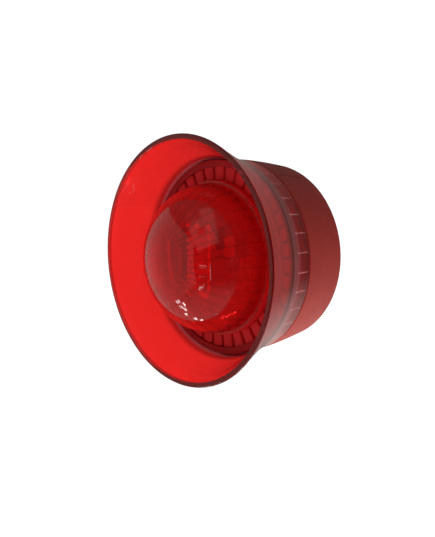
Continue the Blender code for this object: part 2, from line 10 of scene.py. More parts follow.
import bmesh
import bpy
import numpy as np
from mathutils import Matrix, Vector


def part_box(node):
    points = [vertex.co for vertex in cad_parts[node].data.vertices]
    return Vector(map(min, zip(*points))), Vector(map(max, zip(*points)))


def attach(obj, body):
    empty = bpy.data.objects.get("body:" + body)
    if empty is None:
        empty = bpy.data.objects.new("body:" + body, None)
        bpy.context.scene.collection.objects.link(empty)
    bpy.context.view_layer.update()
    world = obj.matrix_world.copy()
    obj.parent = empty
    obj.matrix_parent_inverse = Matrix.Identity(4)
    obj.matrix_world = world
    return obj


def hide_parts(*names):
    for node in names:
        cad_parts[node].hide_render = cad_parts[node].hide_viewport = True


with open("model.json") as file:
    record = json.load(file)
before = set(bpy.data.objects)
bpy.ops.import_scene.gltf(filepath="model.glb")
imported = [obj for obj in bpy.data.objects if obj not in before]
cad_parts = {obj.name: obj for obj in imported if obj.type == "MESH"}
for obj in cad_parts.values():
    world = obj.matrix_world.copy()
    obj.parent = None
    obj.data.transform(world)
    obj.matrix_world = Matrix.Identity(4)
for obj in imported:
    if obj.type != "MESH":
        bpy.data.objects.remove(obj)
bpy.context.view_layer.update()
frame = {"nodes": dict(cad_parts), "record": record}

bl_info = {
    "name": "Horn strobe looks",
    "version": (1, 0, 0),
    "blender": (4, 5, 0),
    "location": "3D View > Sidebar > Horn Strobe",
    "description": "Builds the visible surfaces, finishes and studio of a wall horn strobe",
    "category": "Object",
}

# Places read from the frame -------------------------------------------------------------------

SEAM = -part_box("wall_base")[0].y
RIM_TOP = -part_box("horn_shell")[0].y
RIM_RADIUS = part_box("horn_shell")[1].x
SKIRT_REAR = -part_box("horn_shell")[1].y
DOME_TOP = -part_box("dome_lens")[0].y
DOME_SEAT = -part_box("dome_lens")[1].y
DOME_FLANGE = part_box("dome_lens")[1].x
HUB_TOP = -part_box("throat_ring")[0].y
FIN_FOOT = -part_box("throat_ring")[1].y

SEAM_RADIUS = 0.04755
BASE_TAPER = 0.00275
NECK = 0.0399
NECK_RADIUS = 0.0499
RIM_EDGE = 0.0008
DOME_RADIUS = 0.0362
DOME_EQUATOR = 0.0436
DOME_RISE = DOME_TOP - DOME_EQUATOR
RIB_COUNT = 34
RIB_PHASE = math.radians(-2.93)
RIB_REAR = 0.0277
RIB_FRONT = 0.0344
RIB_FADE = 0.0003
LOCK_ANGLE = math.radians(72)
LOCK_HEIGHT = 0.0120

# Soft lights: angle round from the front, angle above, width, height, radiance
PANES = (
    (-46, -44, 0.060, 0.026, 5), (-36, -49, 0.022, 0.034, 9), (-48, -52, 0.016, 0.060, 9),
    (-62, -57, 0.050, 0.014, 9), (-66, -66, 0.022, 0.030, 9), (-70, -73, 0.050, 0.020, 9),
    (40, -79, 0.045, 0.040, 3), (28, -13, 0.005, 0.170, 2.5), (17, -5, 0.085, 0.008, 2),
    (17, -18, 0.085, 0.010, 2), (12, -32, 0.050, 0.014, 5), (62, 4, 0.005, 0.130, 0.8))
PANE_DISTANCE = 0.45
LOW_PANES = (
    (70, -81, 0.018, 0.034, 14), (95, -76, 0.018, 0.034, 14), (108, -69, 0.018, 0.034, 14))
LOW_PANE_DISTANCE = 0.27


# Number helpers -------------------------------------------------------------------------------

def ease(low, high, value):
    """Smooth step: 0 below low, 1 above high, 3t^2 - 2t^3 between."""
    t = np.clip((value - low) / (high - low), 0, 1)
    return t * t * (3 - 2 * t)


def arc(centre, radius, start, end, count):
    """Points (radius, height) on a circle about centre, from one angle in degrees to another."""
    a = np.radians(np.linspace(start, end, count))
    return np.column_stack((centre[0] + radius * np.cos(a), centre[1] + radius * np.sin(a)))


def around(count):
    """Angles spread evenly over a full turn, from 0."""
    return np.linspace(0, 2 * np.pi, count, endpoint=False)


def bearing(azimuth, elevation):
    """Unit vector at an angle round from the front and one above, both in degrees."""
    a, e = math.radians(azimuth), math.radians(elevation)
    return Vector((math.sin(a) * math.cos(e), -math.cos(a) * math.cos(e), math.sin(e)))


def run(start, end, count):
    """Points on a straight line, the end left out."""
    t = np.linspace(0, 1, count, endpoint=False)[:, None]
    return np.array(start) * (1 - t) + np.array(end) * t


# Mesh helpers ---------------------------------------------------------------------------------

def grid_faces(rows, columns, wrap_rows):
    """Quads between neighbouring points of a grid whose columns go round, as rows of four."""
    i = np.arange(rows if wrap_rows else rows - 1)[:, None]
    j = np.arange(columns)[None, :]
    below, right = (i + 1) % rows, (j + 1) % columns
    quads = (i * columns + j, i * columns + right, below * columns + right, below * columns + j)
    return np.stack(np.broadcast_arrays(*quads), axis=-1).reshape(-1, 4)


def mesh_object(name, points, quads, fans=(), sharp=35):
    """Object of quads, and fans of triangles round poles, shaded smooth with sharp corners."""
    corners = [quads.ravel()]
    sizes = [np.full(len(quads), 4)]
    for fan in fans:
        corners.append(fan.ravel())
        sizes.append(np.full(len(fan), 3))
    corners, sizes = np.concatenate(corners), np.concatenate(sizes)
    mesh = bpy.data.meshes.new(name)
    mesh.vertices.add(len(points))
    mesh.vertices.foreach_set("co", points.astype(np.float32).ravel())
    mesh.loops.add(len(corners))
    mesh.loops.foreach_set("vertex_index", corners.astype(np.int32))
    mesh.polygons.add(len(sizes))
    starts = np.concatenate(([0], np.cumsum(sizes)[:-1]))
    mesh.polygons.foreach_set("loop_start", starts.astype(np.int32))
    mesh.update(calc_edges=True)
    mesh.validate()
    face_outwards(mesh)
    mesh.shade_smooth()
    mesh.set_sharp_from_angle(angle=math.radians(sharp))
    item = bpy.data.objects.new(name, mesh)
    bpy.context.scene.collection.objects.link(item)
    return item


def face_outwards(mesh):
    """Turn every face round when the volume that the faces enclose comes out negative."""
    mesh.calc_loop_triangles()
    count = len(mesh.loop_triangles)
    index = np.empty(count * 3, np.int32)
    mesh.loop_triangles.foreach_get("vertices", index)
    co = np.empty(len(mesh.vertices) * 3)
    mesh.vertices.foreach_get("co", co)
    a, b, c = co.reshape(-1, 3)[index.reshape(-1, 3)].transpose(1, 0, 2)
    if np.einsum("ij,ij->i", a, np.cross(b, c)).sum() < 0:
        mesh.flip_normals()


def turned(name, profile, angles, sharp=35, radius=None):
    """Surface of revolution about the axis along Y.

    A point at (r, h) of the profile goes to (r cos a, -h, r sin a) for each angle a.
    radius(r, h, a), when given, returns the radius in place of r, so that it can vary round the
    axis. A profile that starts and ends on the axis closes with two poles; any other is a loop.
    """
    profile = np.asarray(profile, float)
    poled = profile[0, 0] == 0 and profile[-1, 0] == 0
    body = profile[1:-1] if poled else profile
    r, h, a = body[:, :1], body[:, 1:], np.asarray(angles)[None, :]
    reach = np.broadcast_to(r, (len(body), a.size)) if radius is None else radius(r, h, a)
    points = np.stack((reach * np.cos(a), np.broadcast_to(-h, reach.shape),
                       reach * np.sin(a)), axis=-1).reshape(-1, 3)
    quads = grid_faces(len(body), a.size, not poled)
    fans = []
    if poled:
        poles = [(0, -profile[0, 1], 0), (0, -profile[-1, 1], 0)]
        here = np.arange(a.size)
        following = (here + 1) % a.size
        last_row = (len(body) - 1) * a.size
        first_pole, last_pole = len(points), len(points) + 1
        fans.append(np.column_stack((np.full(a.size, first_pole), following, here)))
        fans.append(np.column_stack((np.full(a.size, last_pole), last_row + here,
                                     last_row + following)))
        points = np.vstack((points, poles))
    return mesh_object(name, points, quads, fans, sharp)


def lofted(name, points):
    """Closed tubes from an array (copies, rows, columns, 3), each end drawn to its middle."""
    points = np.asarray(points, float)
    copies, rows, columns, _ = points.shape
    stride = rows * columns
    first = (np.arange(copies) * stride)[:, None, None]
    quads = (first + grid_faces(rows, columns, False)[None]).reshape(-1, 4)
    ends = np.concatenate((points[:, 0].mean(axis=1), points[:, -1].mean(axis=1)))
    here = np.arange(columns)[None, :]
    following = (here + 1) % columns
    start = (np.arange(copies) * stride)[:, None]
    last = start + stride - columns
    pole = copies * stride + np.arange(copies)[:, None] + np.zeros_like(here)
    front = np.stack((pole, start + following, start + here), axis=-1).reshape(-1, 3)
    back = np.stack((pole + copies, last + here, last + following), axis=-1).reshape(-1, 3)
    cloud = np.vstack((points.reshape(-1, 3), ends))
    return mesh_object(name, cloud, quads, (front, back))


def rounded_outline(half_u, half_v, corner, steps):
    """Rectangle with rounded corners, as points (u, v) anticlockwise."""
    a = np.radians(np.linspace(0, 90, steps))
    quarter = np.column_stack((np.cos(a), np.sin(a))) * corner
    centre = np.array((half_u - corner, half_v - corner))
    sides = []
    for turn, sign in enumerate(((1, 1), (-1, 1), (-1, -1), (1, -1))):
        c, s = math.cos(turn * math.pi / 2), math.sin(turn * math.pi / 2)
        spun = quarter @ np.array(((c, s), (-s, c)))
        sides.append(spun + centre * np.array(sign))
    return np.vstack(sides)


def rod_rows(start, end, profile, columns=32):
    """Rows of a round rod: at each (radius, way along) of the profile, a circle about the axis."""
    start, end = np.array(start, float), np.array(end, float)
    axis = (end - start) / np.linalg.norm(end - start)
    side = np.cross(axis, (0.31, 0.88, 0.36))
    side /= np.linalg.norm(side)
    other = np.cross(axis, side)
    a = around(columns)
    ringed = np.cos(a)[:, None] * side + np.sin(a)[:, None] * other
    profile = np.asarray(profile, float)
    centres = start + (end - start) * profile[:, 1:]
    return (centres[:, None, :] + profile[:, :1, None] * ringed[None])[None]


def join(piece, *others):
    """Merge the meshes of the others into the piece."""
    cloud = bmesh.new()
    for item in (piece, *others):
        cloud.from_mesh(item.data)
    cloud.to_mesh(piece.data)
    cloud.free()
    for item in others:
        bpy.data.objects.remove(item)
    return piece


def carved(piece, cutter):
    """Cut the cutter out of the piece with an exact Boolean, and take the cutter away."""
    cut = piece.modifiers.new("openings", "BOOLEAN")
    cut.operation, cut.solver, cut.object = "DIFFERENCE", "EXACT", cutter
    bpy.context.view_layer.update()
    result = piece.evaluated_get(bpy.context.evaluated_depsgraph_get())
    mesh = bpy.data.meshes.new_from_object(result)
    piece.modifiers.clear()
    piece.data = mesh
    bpy.data.objects.remove(cutter)
    mesh.shade_smooth()
    mesh.set_sharp_from_angle(angle=math.radians(32))


def fitted(piece, body, slot, material, *nodes):
    """Give a piece its finish and its body, and hide the CAD nodes that it stands for."""
    piece.data.materials.clear()
    piece.data.materials.append(material)
    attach(piece, body)
    if nodes:
        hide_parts(*nodes)


# Materials ------------------------------------------------------------------------------------

class Nodes:
    """A node tree under construction."""

    def __init__(self, tree):
        self.tree = tree

    def node(self, kind, **settings):
        """Add a node, setting its properties, and its inputs where no property has the name."""
        item = self.tree.nodes.new(kind)
        for key, value in settings.items():
            if hasattr(item, key):
                setattr(item, key, value)
            else:
                item.inputs[key.replace("_", " ")].default_value = value
        return item

    def link(self, source, target):
        """Join an output socket to an input socket."""
        self.tree.links.new(source, target)

    def maths(self, operation, one, two=0.0):
        """Two values, or a value and a number, put together."""
        item = self.node("ShaderNodeMath", operation=operation)
        for socket, value in zip(item.inputs, (one, two)):
            if isinstance(value, (int, float)):
                socket.default_value = value
            else:
                self.link(value, socket)
        return item.outputs[0]


class Finish(Nodes):
    """A node material under construction: a Principled shader and the nodes that feed it."""

    def __init__(self, name, **values):
        self.material = bpy.data.materials.new(name)
        self.material.use_nodes = True
        super().__init__(self.material.node_tree)
        self.shader = self.tree.nodes["Principled BSDF"]
        for socket, value in values.items():
            self.shader.inputs[socket.replace("_", " ")].default_value = value

    def place(self):
        """Output of the piece's own object coordinates, in metres."""
        return self.node("ShaderNodeTexCoord").outputs["Object"]

    def noise(self, scale, detail, roughness=0.55):
        """Noise over the piece, scale in features per metre."""
        noise = self.node("ShaderNodeTexNoise", Scale=scale, Detail=detail, Roughness=roughness)
        self.link(self.place(), noise.inputs["Vector"])
        return noise.outputs["Fac"]

    def ramp(self, source, stops):
        """Colour ramp over a value, stops of (position, colour)."""
        ramp = self.node("ShaderNodeValToRGB")
        elements = ramp.color_ramp.elements
        while len(elements) < len(stops):
            elements.new(0.5)
        for element, (position, color) in zip(elements, stops):
            element.position = position
            element.color = (*color, 1)
        self.link(source, ramp.inputs["Fac"])
        return ramp.outputs["Color"]

    def scaled(self, source, low, high, start=0.3, end=0.7):
        """Map a value from start-end to low-high."""
        scaled = self.node("ShaderNodeMapRange")
        for key, value in zip(("From Min", "From Max", "To Min", "To Max"),
                              (start, end, low, high)):
            scaled.inputs[key].default_value = value
        self.link(source, scaled.inputs["Value"])
        return scaled.outputs["Result"]

    def bump(self, source, depth, strength=1.0):
        """Bump from a height, depth in metres."""
        bump = self.node("ShaderNodeBump", Strength=strength, Distance=depth)
        self.link(source, bump.inputs["Height"])
        self.link(bump.outputs["Normal"], self.shader.inputs["Normal"])

    def roughness(self, source, low, high):
        """Roughness that varies with a value."""
        self.link(self.scaled(source, low, high), self.shader.inputs["Roughness"])

    def blend(self, factor, source, color):
        """Mix a colour output towards a colour."""
        mix = self.node("ShaderNodeMix", data_type="RGBA")
        self.link(factor, mix.inputs["Factor"])
        self.link(source, mix.inputs[6])
        mix.inputs[7].default_value = (*color, 1)
        return mix.outputs[2]

    def spokes(self, count, phase, thin, wide):
        """1 on lines that run out from the axis along Y, 0 between them, and the radius.

        The way aside is the radius times the angle to the nearest line. The value falls from 1
        where that is under thin to 0 where it is over wide.
        """
        split = self.node("ShaderNodeSeparateXYZ")
        self.link(self.place(), split.inputs[0])
        x, z = split.outputs["X"], split.outputs["Z"]
        step = 2 * math.pi / count
        angle = self.maths("SUBTRACT", self.maths("ARCTAN2", z, x), phase)
        turn = self.maths("DIVIDE", angle, step)
        part = self.maths("FRACT", self.maths("ADD", turn, 0.5))
        nearest = self.maths("ABSOLUTE", self.maths("SUBTRACT", part, 0.5))
        squares = self.maths("ADD", self.maths("MULTIPLY", x, x), self.maths("MULTIPLY", z, z))
        reach = self.maths("SQRT", squares)
        aside = self.maths("MULTIPLY", self.maths("MULTIPLY", nearest, reach), step)
        return self.scaled(aside, 1.0, 0.0, thin, wide), reach

    def band(self, value, stops):
        """1 between the two middle stops of a value, falling to 0 at the outer two."""
        return self.maths("MULTIPLY", self.scaled(value, 0.0, 1.0, stops[0], stops[1]),
                          self.scaled(value, 1.0, 0.0, stops[2], stops[3]))

    def colour(self, source, stops):
        """Base colour from a ramp over a value."""
        self.link(self.ramp(source, stops), self.shader.inputs["Base Color"])


def shade(color, factor):
    """A colour made lighter or darker."""
    return tuple(min(1.0, channel * factor) for channel in color)


def moulded(name, color, rough=0.4, grain=0.00002, **values):
    """Moulded plastic: a fine spark-eroded grain, slight colour drift and uneven gloss."""
    finish = Finish(name, **values)
    drift = finish.noise(60, 3)
    finish.colour(drift, [(0.3, shade(color, 0.93)), (0.7, shade(color, 1.06))])
    finish.roughness(finish.noise(420, 5), rough * 0.88, rough * 1.15)
    finish.bump(finish.noise(9000, 2, 0.5), grain)
    return finish.material


def clear_plastic(name, color, rough=0.03, clear=1.0, tune=None):
    """Dyed clear polycarbonate with slight haze and uneven gloss.

    clear is the share of light let through; the rest scatters in the dye. tune(finish, dye) may
    change the dye, painted shade included, and gives back the new one and the share let through.
    """
    finish = Finish(name, Transmission_Weight=clear, IOR=1.58)
    dye = finish.ramp(finish.noise(35, 2), [(0.3, shade(color, 0.97)), (0.7, shade(color, 1.02))])
    if tune:
        dye, share = tune(finish, dye)
        finish.link(share, finish.shader.inputs["Transmission Weight"])
    finish.link(dye, finish.shader.inputs["Base Color"])
    finish.roughness(finish.noise(260, 6, 0.65), rough * 0.7, rough * 1.5)
    finish.bump(finish.noise(45, 1, 0.3), 0.000015, 0.4)
    return finish.material


def plated(name, color, rough=0.28, grain=3000):
    """Plated or polished metal with fine drawn marks."""
    finish = Finish(name, Metallic=1.0)
    finish.colour(finish.noise(150, 3), [(0.3, shade(color, 0.9)), (0.7, shade(color, 1.05))])
    finish.roughness(finish.noise(grain, 4), rough * 0.8, rough * 1.3)
    finish.bump(finish.noise(grain, 2), 0.000006)
    return finish.material


def circuit_board(name, color):
    """Solder mask over tracks, with rows of tinned pads."""
    finish = Finish(name)
    place = finish.place()
    tracks = finish.node("ShaderNodeTexBrick", Scale=420.0, offset=0.5, squash=0.6)
    tracks.inputs["Color1"].default_value = (*color, 1)
    tracks.inputs["Color2"].default_value = (*shade(color, 1.5), 1)
    tracks.inputs["Mortar"].default_value = (*shade(color, 0.6), 1)
    turn = finish.node("ShaderNodeMapping")
    turn.inputs["Rotation"].default_value = (math.radians(90), 0, 0)
    finish.link(place, turn.inputs["Vector"])
    finish.link(turn.outputs["Vector"], tracks.inputs["Vector"])
    finish.link(tracks.outputs["Color"], finish.shader.inputs["Base Color"])
    finish.roughness(finish.noise(700, 3), 0.25, 0.45)
    finish.bump(tracks.outputs["Fac"], 0.00004)
    return finish.material


# Outlines shared by pieces --------------------------------------------------------------------

def base_radius(height):
    """Outside radius of the base: seam radius less taper times (1 - h / seam) ^ 1.4."""
    return SEAM_RADIUS - BASE_TAPER * np.clip(1 - height / SEAM, 0, 1) ** 1.4


def skirt_radius(height):
    """Outside radius of the skirt: opens as the cube of the way from the seam to the neck."""
    rise = (height - SEAM) / (NECK - SEAM)
    return SEAM_RADIUS + (NECK_RADIUS - SEAM_RADIUS) * rise ** 3


def flare_rise(height):
    """0 at the neck, 1 where the rim's rounding begins."""
    return np.clip((height - NECK) / (RIM_TOP - RIM_EDGE - NECK), 0, None)


def flare_radius(height):
    """Outside radius of the flare: grows as the way up it to the power 1.15."""
    return NECK_RADIUS + (RIM_RADIUS - NECK_RADIUS) * flare_rise(height) ** 1.15


# Settings -------------------------------------------------------------------------------------

def length(name, description, default):
    """A length as a setting."""
    return bpy.props.FloatProperty(
        name=name, description=description, default=default, unit="LENGTH")


def tint(name, description, default):
    """A colour as a setting."""
    return bpy.props.FloatVectorProperty(
        name=name, description=description, default=default, subtype="COLOR", min=0, max=1)


class HornStrobeSizes(bpy.types.PropertyGroup):
    """Sizes of the moulded details."""

    rim_wall: length("Rim wall", "Thickness of the horn at its rim", 0.00265)
    neck_wall: length("Neck wall", "Thickness of the horn at its neck", 0.0012)
    skirt_wall: length("Skirt wall", "Thickness of the horn's skirt", 0.0019)
    dome_wall: length("Dome wall", "Thickness of the dome between its flutes", 0.0018)
    rib_edge: length("Rib edge", "Radius of the inner edge of the skirt's ribs", 0.0453)
    flute_count: bpy.props.IntProperty(
        name="Dome flutes", description="Flutes inside the dome", default=40)
    flute_bow: bpy.props.FloatProperty(
        name="Flute bow", description="Depth of each flute as a share of its width",
        default=0.055)
    fin_count: bpy.props.IntProperty(
        name="Throat fins", description="Fins across the sound outlet", default=36)


class HornStrobeColours(bpy.types.PropertyGroup):
    """Colours of the finishes."""

    clear_red: tint("Clear red", "Dye of the horn", (0.83, 0.021, 0.019))
    lens_red: tint("Lens red", "Dye of the dome", (0.93, 0.020, 0.022))
    base_red: tint("Base red", "Colour of the wall base", (0.44, 0.034, 0.026))
    throat_red: tint("Throat red", "Colour of the ring of fins", (0.60, 0.020, 0.025))
    chassis: tint("Chassis", "Colour of the chassis and rear cover", (0.10, 0.045, 0.065))


class HornStrobeStudio(bpy.types.PropertyGroup):
    """Camera placement and lens."""

    azimuth: bpy.props.FloatProperty(
        name="Azimuth", description="Camera's angle round the object from the front",
        default=math.radians(50.0), subtype="ANGLE")
    elevation: bpy.props.FloatProperty(
        name="Elevation", description="Camera's angle above the object",
        default=math.radians(8.1), subtype="ANGLE")
    distance: length("Distance", "Camera's distance from the rim's centre", 0.3186)
    lens: bpy.props.FloatProperty(
        name="Lens", description="Focal length in millimetres", default=45.9)
    shift_x: bpy.props.FloatProperty(
        name="Shift X", description="Sideways shift of the picture", default=0.0728)
    shift_y: bpy.props.FloatProperty(
        name="Shift Y", description="Upward shift of the picture", default=-0.0119)


def settings():
    """The three groups of settings on the scene."""
    scene = bpy.context.scene
    return scene.horn_strobe_sizes, scene.horn_strobe_colours, scene.horn_strobe_studio


# Pieces ---------------------------------------------------------------------------------------

class MakeHorn(bpy.types.Operator):
    """Clear horn: ribbed skirt, flare and thick rim in one closed shell"""

    bl_idname = "horn_strobe.make_horn"
    bl_label = "Horn"

    def execute(self, context):
        sizes, colours, _ = settings()
        top = RIM_TOP - RIM_EDGE

        def bore(h):
            wall = sizes.neck_wall + (sizes.rim_wall - sizes.neck_wall) * flare_rise(h)
            return flare_radius(h) - wall

        def lining(h):
            """Inner radius of the skirt: its wall thins to the neck's over the last 5 mm."""
            thin = ease(NECK - 0.005, NECK, h)
            return skirt_radius(h) - sizes.skirt_wall - (sizes.neck_wall - sizes.skirt_wall) * thin

        skirt_h = np.linspace(SKIRT_REAR + 0.0004, NECK, 26)
        flare_h = np.linspace(NECK, top, 30)[1:-1]
        bore_h = np.linspace(top, NECK, 30)
        lining_h = np.concatenate((np.linspace(NECK - 0.0003, RIB_FRONT + 0.0020, 6),
                                   np.linspace(RIB_FRONT + 0.0018, RIB_FRONT + 0.0004, 5),
                                   np.linspace(RIB_FRONT + RIB_FADE, RIB_REAR + 0.0001, 17),
                                   np.linspace(RIB_REAR - 0.0001, SKIRT_REAR, 4)))
        inner_lip = bore(top)
        profile = np.vstack((
            np.column_stack((skirt_radius(skirt_h), skirt_h)),
            np.column_stack((flare_radius(flare_h), flare_h)),
            arc((RIM_RADIUS - RIM_EDGE, top), RIM_EDGE, 0, 90, 9),
            arc((inner_lip + RIM_EDGE, top), RIM_EDGE, 90, 180, 9)[:-1],
            np.column_stack((bore(bore_h), bore_h)),
            np.column_stack((lining(lining_h), lining_h)),
            [(skirt_radius(SKIRT_REAR) - 0.0004, SKIRT_REAR)],
        ))
        offsets = np.radians(
            [-4.6, -3.2, -1.8, -0.85, -0.62, -0.35, 0, 0.35, 0.62, 0.85, 1.8, 3.4])
        pitch = 2 * np.pi / RIB_COUNT
        angles = (RIB_PHASE + np.arange(RIB_COUNT)[:, None] * pitch + offsets).ravel()

        def ribbed(r, h, a):
            """Radius drawn in to the ribs' edge, in a narrow window of angle and one of height."""
            off = np.abs((a - RIB_PHASE + pitch / 2) % pitch - pitch / 2)
            across = 1 - ease(math.radians(0.35), math.radians(0.62), off)
            along = (ease(RIB_REAR - RIB_FADE, RIB_REAR, h)
                     * (1 - ease(RIB_FRONT, RIB_FRONT + RIB_FADE, h)))
            inside = r < skirt_radius(np.minimum(h, NECK)) - 0.6 * sizes.skirt_wall
            return r + (sizes.rib_edge - r) * across * along * inside

        horn = turned("horn", profile, angles, radius=ribbed)
        color = tuple(colours.clear_red)
        clear = 0.92

        def tune(finish, dye):
            """Painted shade on the rim's lip, the neck and the waist behind it; pale on the ribs.
            """
            split = finish.node("ShaderNodeSeparateXYZ")
            finish.link(finish.place(), split.inputs[0])
            ahead = finish.maths("MULTIPLY", split.outputs["Y"], -1.0)
            # Painted shade: darker, hazier dye on the rim's lip, partly the real depth of colour
            # of its thick section.
            edge = finish.scaled(ahead, 0.0, 1.0, RIM_TOP - 0.0011, RIM_TOP - 0.0007)
            line, _ = finish.spokes(RIB_COUNT, RIB_PHASE, 0.00015, 0.00040)
            rib = finish.maths("MULTIPLY", line, finish.band(
                ahead, (RIB_REAR - 0.0005, RIB_REAR - 0.0001,
                        RIB_FRONT + 0.0002, RIB_FRONT + 0.0008)))
            # Painted shadow: darker dye where the flare folds into the neck.
            neck = finish.band(ahead, (NECK - 0.0012, NECK, NECK + 0.0009, NECK + 0.0036))
            # Painted shade: a darker, greyer band behind the neck that lets less light through.
            waist = finish.band(
                ahead, (NECK - 0.0072, NECK - 0.0055, NECK - 0.0012, NECK - 0.0002))
            # Blend in the painted shade of lip, neck and waist, then the pale colour of the ribs.
            for part, deeper in ((edge, shade(color, 0.45)), (neck, shade(color, 0.45)),
                                 (waist, (0.52, 0.085, 0.10)), (rib, (0.95, 0.42, 0.43))):
                dye = finish.blend(part, dye, deeper)
            haze = finish.maths("MAXIMUM", finish.maths("MAXIMUM", edge, waist),
                                finish.maths("MULTIPLY", rib, 2.0))
            share = finish.maths("SUBTRACT", finish.scaled(haze, clear, 0.78, 0.0, 1.0),
                                 finish.maths("MULTIPLY", waist, 0.25))
            return dye, share

        finish = clear_plastic("horn_clear_red_painted_shade", color, 0.03, clear, tune)
        fitted(horn, "head", "clear_red", finish, "horn_shell")
        return {"FINISHED"}


class MakeDome(bpy.types.Operator):
    """Clear dome: smooth outside, fluted inside, plain at its pole"""

    bl_idname = "horn_strobe.make_dome"
    bl_label = "Dome"

    def execute(self, context):
        sizes, colours, _ = settings()
        wall = sizes.dome_wall
        rise = np.radians(np.linspace(0, 90, 56))
        outside = np.column_stack((DOME_RADIUS * np.cos(rise),
                                   DOME_EQUATOR + DOME_RISE * np.sin(rise)))
        fall = rise[::-1]
        inside = np.column_stack(((DOME_RADIUS - wall) * np.cos(fall),
                                  DOME_EQUATOR + (DOME_RISE - wall) * np.sin(fall)))
        outside[-1, 0] = inside[0, 0] = 0
        flange = DOME_FLANGE - 0.0003
        foot = np.vstack((
            run((DOME_RADIUS - wall, DOME_EQUATOR), (DOME_RADIUS - wall, DOME_SEAT), 5)[1:],
            run((DOME_RADIUS - wall, DOME_SEAT), (flange, DOME_SEAT), 4),
            arc((flange, DOME_SEAT + 0.0003), 0.0003, -90, 0, 4),
            arc((flange, DOME_SEAT + 0.0011), 0.0003, 0, 90, 4),
            arc((DOME_RADIUS + 0.0004, DOME_SEAT + 0.0018), 0.0004, 270, 180, 5),
        ))
        half = len(outside)
        profile = np.vstack((inside, foot, outside))
        count, steps = sizes.flute_count, 12
        pitch = 2 * np.pi / count

        def fluted(r, h, a):
            """Inner radius less bow times flute width times 1 - (2u - 1)^2, u the way across."""
            u = (a / pitch) % 1.0
            crown = 1 - (2 * u - 1) ** 2
            row = np.arange(len(r))[:, None]
            inner = row < half - 1
            polar = np.arctan2(r / DOME_RADIUS, np.maximum(h - DOME_EQUATOR, 0) / DOME_RISE)
            fade = ease(math.radians(17), math.radians(24), polar)
            fade = fade * ease(DOME_SEAT + 0.0006, DOME_SEAT + 0.0016, h)
            return r - sizes.flute_bow * pitch * r * crown * fade * inner

        dome = turned("dome", profile, around(count * steps), 25, fluted)
        finish = self.fluted_plastic(tuple(colours.lens_red), count)
        fitted(dome, "head", "clear_red", finish, "dome_lens")
        return {"FINISHED"}

    def fluted_plastic(self, color, count):
        """Clear red with painted shade: darker and hazier dye along the lines where two flutes
        meet.

        Towards the plain middle of the dome the painted lines fade out.
        """
        finish = Finish("dome_clear_red_painted_shade", IOR=1.58)
        line, reach = finish.spokes(count, 0.0, 0.00008, 0.00045)
        plain = finish.scaled(reach, 0.0, 1.0, 0.0100, 0.0125)
        # Painted shade: darker dye and less light let through along the flute creases.
        painted_shade_lines = finish.maths("MULTIPLY", line, plain)
        stops = [(0.3, shade(color, 0.96)), (0.7, shade(color, 1.03))]
        dye = finish.ramp(finish.noise(35, 2), stops)
        finish.link(finish.blend(painted_shade_lines, dye, shade(color, 0.74)),
                    finish.shader.inputs["Base Color"])
        finish.link(finish.scaled(painted_shade_lines, 0.80, 0.70, 0.0, 1.0),
                    finish.shader.inputs["Transmission Weight"])
        finish.roughness(finish.noise(260, 6, 0.65), 0.015, 0.035)
        finish.bump(painted_shade_lines, 0.00002, 0.5)
        return finish.material


class MakeBase(bpy.types.Operator):
    """Wall base: rounded cup with its wall slots, cable hole, lock-screw hole and side line"""

    bl_idname = "horn_strobe.make_base"
    bl_label = "Wall base"

    def execute(self, context):
        _, colours, _ = settings()
        edge, wall, plate = 0.0012, 0.0025, 0.0030
        heights = np.linspace(edge, SEAM - 0.0003, 60)
        inner = np.linspace(SEAM, plate + 0.001, 30)
        lip = float(base_radius(SEAM))
        foot = float(base_radius(edge))
        profile = np.vstack((
            [(0, 0)], run((0.012, 0), (foot - edge, 0), 24),
            arc((foot - edge, edge), edge, -90, 0, 10),
            np.column_stack((base_radius(heights), heights))[1:],
            arc((lip - 0.0003, SEAM - 0.0003), 0.0003, 0, 90, 5)[1:],
            np.column_stack((base_radius(inner) - wall, inner)),
            arc((float(base_radius(plate)) - wall - 0.001, plate + 0.001), 0.001, 0, -90, 5)[1:],
            run((0.030, plate), (0.012, plate), 8), [(0, plate)],
        ))
        base = turned("base", profile, around(240))
        carved(base, self.holes())
        finish = moulded("base_moulded_red", tuple(colours.base_red), 0.5, 0.000015,
                         Specular_IOR_Level=0.3)
        fitted(base, "base", "base_red", finish, "wall_base")
        return {"FINISHED"}

    def holes(self):
        """One cutter: cable hole, two wall slots, lock-screw hole and the thin side line."""
        behind, ahead = 0.001, -0.005
        sides = 48
        cable_radius, cable_drop = 0.0065, 0.010
        lock_radius, lock_start, lock_end = 0.0016, 0.040, 0.052
        slot_size, slot_corner, slot_place = (0.00335, 0.0022), 0.00219, 0.03015
        line_rear, line_front, line_depth, clear = 0.0066, 0.0232, 0.00045, 0.0495
        line_turns = np.radians((57.35, 58.05, 58.05, 57.35))

        deep = np.array(((1.0, 0.0), (1.0, 1.0)))
        cable = rod_rows((0, behind, -cable_drop), (0, ahead, -cable_drop),
                         deep * (cable_radius, 1), sides)
        way = np.array((math.cos(LOCK_ANGLE), 0, math.sin(LOCK_ANGLE)))
        middle = np.array((0, -LOCK_HEIGHT, 0))
        lock = rod_rows(middle + way * lock_start, middle + way * lock_end,
                        deep * (lock_radius, 1), sides)
        slots = []
        for side in (-1, 1):
            slot = rounded_outline(*slot_size, slot_corner, sides // 4) + (side * slot_place, 0)
            rows = [np.column_stack((slot[:, 0], np.full(sides, y), slot[:, 1]))
                    for y in (behind, ahead)]
            slots.append(np.array(rows))
        rows = []
        for height in np.linspace(line_rear, line_front, 24):
            inner = float(base_radius(height)) - line_depth
            reach = np.array((inner, inner, clear, clear))
            rows.append(np.column_stack((reach * np.cos(line_turns), np.full(4, -height),
                                         reach * np.sin(line_turns))))
        line = lofted("line_cutter", np.array(rows)[None])
        cutter = lofted("hole_cutter", np.concatenate((cable, lock, np.array(slots))))
        return join(cutter, line)


